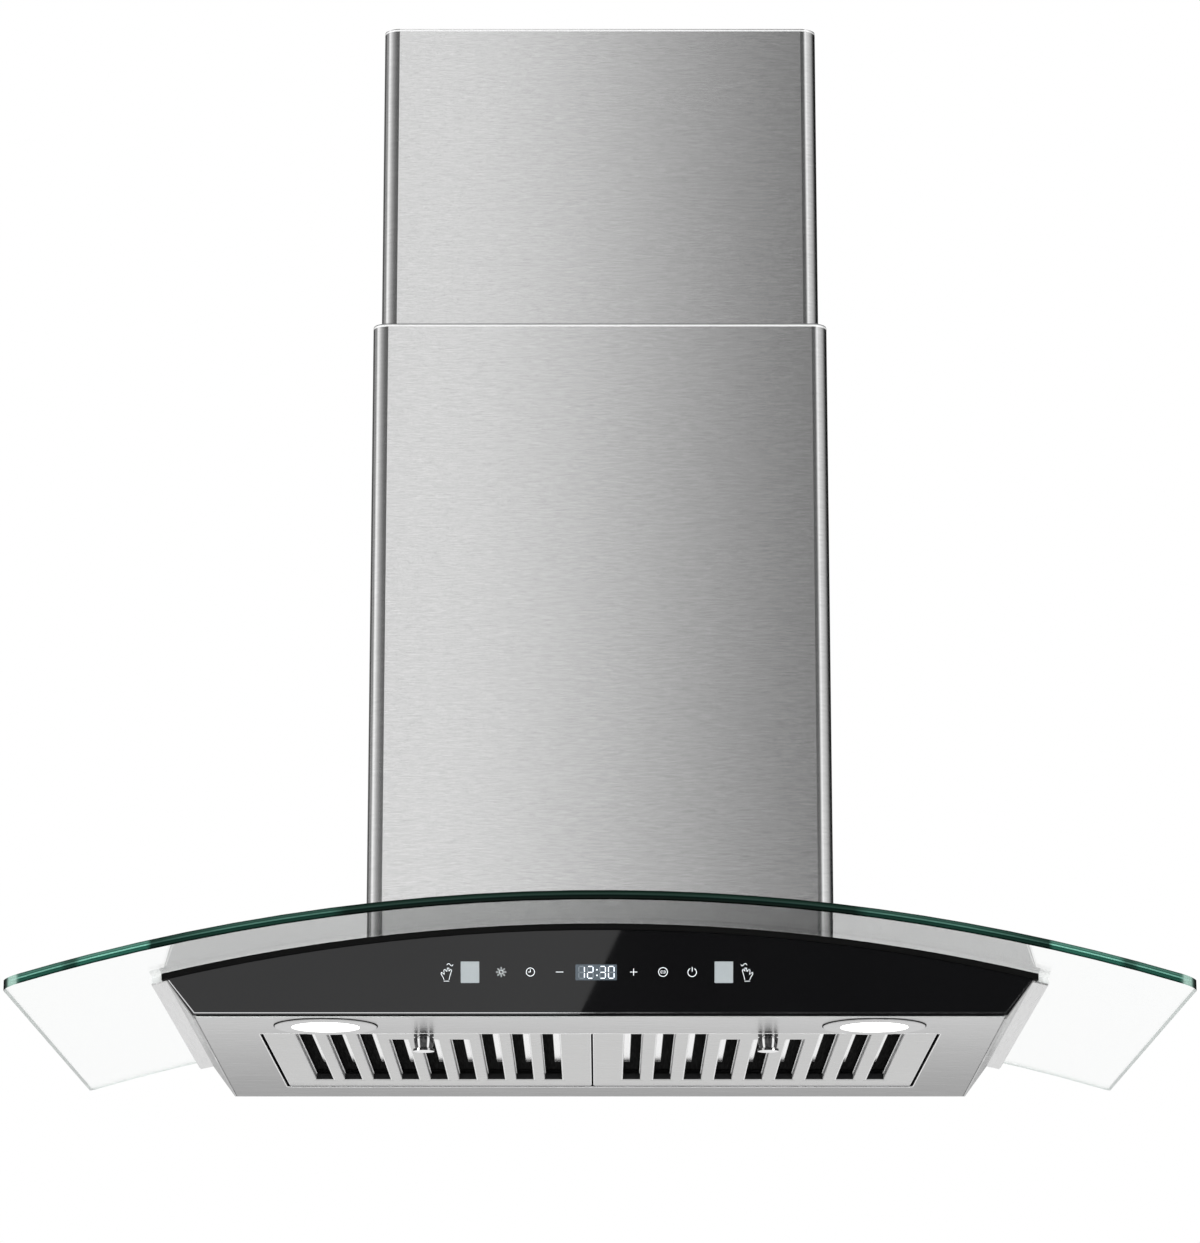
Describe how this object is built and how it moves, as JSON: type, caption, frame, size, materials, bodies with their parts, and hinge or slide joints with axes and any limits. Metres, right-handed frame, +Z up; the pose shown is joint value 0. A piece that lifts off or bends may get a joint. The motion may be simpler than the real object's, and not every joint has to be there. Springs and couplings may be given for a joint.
{
  "type": "wall mount range hood",
  "caption": "Wall mount range hood with curved glass canopy, touch panel, baffle filters and telescoping steel chimney.",
  "frame": {"origin": "on the wall plane, midway between the two hanging keyholes of the back plate", "axes": "+X to the right seen from the room, +Y towards the wall, +Z up"},
  "size_m": [0.75, 0.502, 0.7419],
  "materials": {
    "clear_glass": "polished float glass with green edges",
    "black_glass": "black back-printed glass, gloss",
    "brushed_steel": "satin brushed stainless steel",
    "inner_steel": "plain sheet steel",
    "chrome": "polished",
    "black_rubber": "matt",
    "grey_gasket": "matt",
    "black_plastic": "fine grain",
    "circuit_board": "satin",
    "display": "smoked",
    "sensor": "satin",
    "spring_steel": "bright",
    "lamp_lens": "opal",
    "aluminium": "satin",
    "steel_fastener": "zinc plated",
    "magnet": "nickel plated",
    "impeller_plastic": "satin",
    "motor_paint": "satin black",
    "collar_plastic": "satin",
    "lead_sheath": "matt"
  },
  "bodies": {
    "hood": {"back_plate": "inner_steel", "blower_case": "inner_steel", "board_holder": "black_plastic", "chimney_ears": "inner_steel", "chimney_glides": "black_plastic", "control_panel_glass": "black_glass", "damper_pins": "steel_fastener", "display_module": "display", "filter_hinge_rail": "inner_steel", "filter_magnets": "magnet", "front_fascia": "brushed_steel", "front_seal": "black_rubber", "gesture_sensors": "sensor", "glass_bolts": "steel_fastener", "glass_canopy": "clear_glass", "glass_nuts": "steel_fastener", "glass_washers": "black_rubber", "internal_leads": "lead_sheath", "junction_box": "black_plastic", "junction_cover": "black_plastic", "lamp_boards": "circuit_board", "lamp_clips": "inner_steel", "left_lamp_bezel": "brushed_steel", "left_lamp_housing": "aluminium", "left_lamp_lens": "lamp_lens", "left_side_panel": "brushed_steel", "lower_chimney": "brushed_steel", "magnet_brackets": "inner_steel", "motor": "motor_paint", "motor_bracket": "inner_steel", "outlet_collar": "collar_plastic", "right_lamp_bezel": "brushed_steel", "right_lamp_housing": "aluminium", "right_lamp_lens": "lamp_lens", "right_side_panel": "brushed_steel", "run_capacitor": "aluminium", "scroll_housing": "inner_steel", "side_gaskets": "grey_gasket", "supply_gland": "black_plastic", "touch_board": "circuit_board", "touch_springs": "spring_steel", "tray_top_plate": "inner_steel", "underside_plate": "brushed_steel"},
    "left_filter": {"left_filter_frame": "brushed_steel", "left_upper_baffles": "inner_steel", "left_filter_knob": "chrome", "left_knob_nut": "steel_fastener", "left_filter_pins": "steel_fastener"},
    "right_filter": {"right_filter_frame": "brushed_steel", "right_upper_baffles": "inner_steel", "right_filter_knob": "chrome", "right_knob_nut": "steel_fastener", "right_filter_pins": "steel_fastener"},
    "impeller": {"impeller": "impeller_plastic", "motor_shaft": "steel_fastener"},
    "front_damper": {"front_damper_flap": "aluminium"},
    "rear_damper": {"rear_damper_flap": "aluminium"},
    "upper_chimney": {"upper_chimney": "brushed_steel", "ceiling_bracket": "inner_steel"}
  },
  "joints": [
    {"name": "left_filter_hinge", "type": "hinge", "parent": "hood", "child": "left_filter", "pos_m": [-0.1155, -0.0602, -0.2192], "axis": [1, 0, 0], "range_deg": [0, 75]},
    {"name": "right_filter_hinge", "type": "hinge", "parent": "hood", "child": "right_filter", "pos_m": [0.1101, -0.0602, -0.2192], "axis": [1, 0, 0], "range_deg": [0, 75]},
    {"name": "impeller_spin", "type": "hinge", "parent": "hood", "child": "impeller", "pos_m": [0, -0.104, -0.072], "axis": [1, 0, 0], "continuous": true},
    {"name": "front_damper_hinge", "type": "hinge", "parent": "hood", "child": "front_damper", "pos_m": [0, -0.1332, 0.054], "axis": [-1, 0, 0], "range_deg": [0, 75]},
    {"name": "rear_damper_hinge", "type": "hinge", "parent": "hood", "child": "rear_damper", "pos_m": [0, -0.1268, 0.054], "axis": [1, 0, 0], "range_deg": [0, 75]},
    {"name": "chimney_slide", "type": "slide", "parent": "hood", "child": "upper_chimney", "axis": [0, 0, 1], "range_m": [-0.185, 0.16]}
  ]
}
